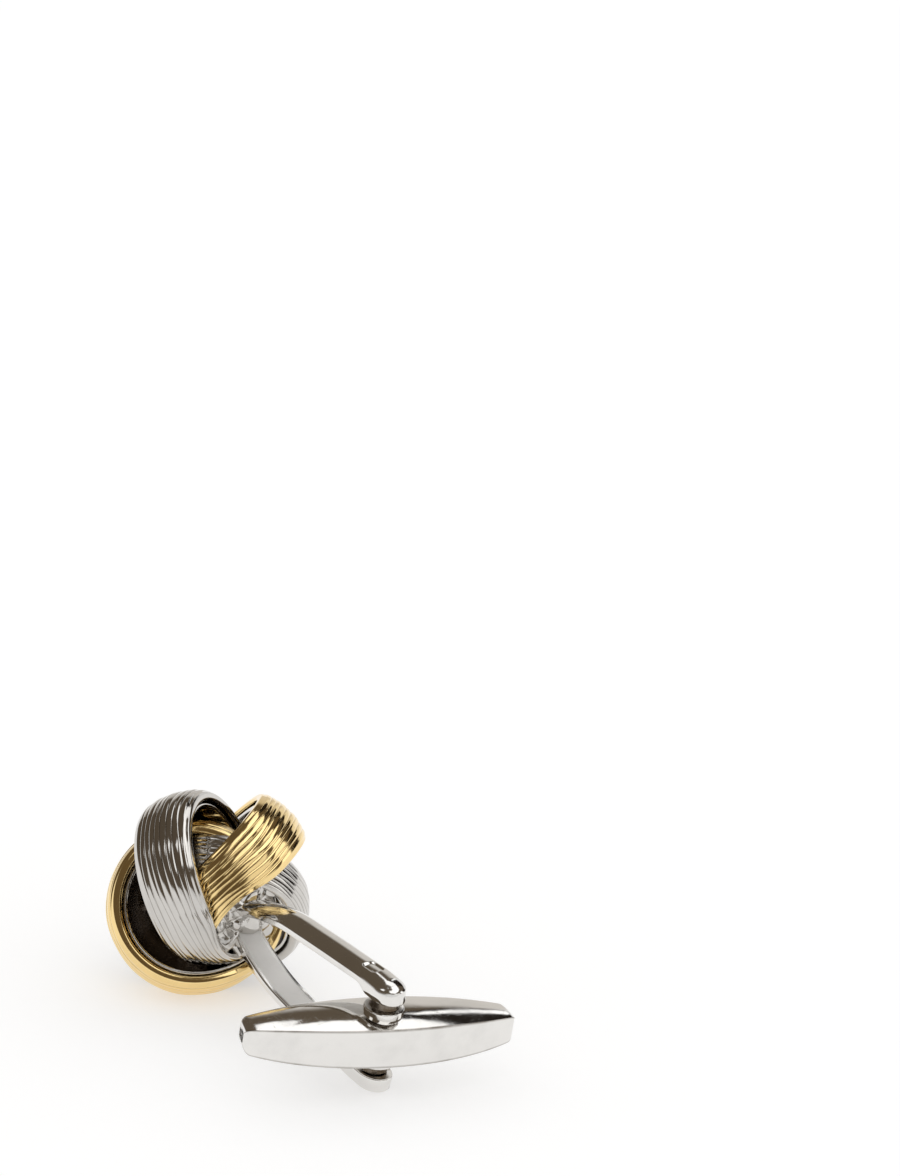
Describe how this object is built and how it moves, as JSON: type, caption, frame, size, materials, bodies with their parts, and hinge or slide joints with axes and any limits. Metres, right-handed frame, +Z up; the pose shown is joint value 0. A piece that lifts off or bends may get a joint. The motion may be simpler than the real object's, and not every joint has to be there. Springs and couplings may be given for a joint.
{
  "type": "cufflink",
  "caption": "Two-tone love-knot cufflink of linked ribbed bands on a two-arm fork, with a whale-back toggle that swivels between the arm tips.",
  "frame": {"origin": "middle of the underside of the bounding box, on the table the cufflink lies on", "axes": "+X along the table from the knot to the toggle, +Z up; the post dips about 7.3 degrees towards +X because the piece rests on two knot bands and the lower arm tip"},
  "size_m": [0.03, 0.0196, 0.0144],
  "materials": {
    "silver_plate": "polished",
    "gold_plate": "polished",
    "spring_steel": "satin"
  },
  "bodies": {
    "link": {"fork": "silver_plate", "silver_band_upper": "silver_plate", "gold_band_lower": "gold_plate", "silver_band_lower": "silver_plate", "gold_band_upper": "gold_plate", "knot_core": "silver_plate", "solder_collar": "silver_plate", "pivot_pin": "spring_steel"},
    "toggle": {"toggle_shell": "silver_plate", "toggle_face_plate": "silver_plate", "detent_leaf": "spring_steel"}
  },
  "joints": [
    {"name": "toggle_swivel", "type": "hinge", "parent": "link", "child": "toggle", "pos_m": [0.01178, -0.00002, 0.00442], "axis": [-0.1264, -0.03, -0.9915], "range_deg": [-105.5, 74.5]}
  ]
}
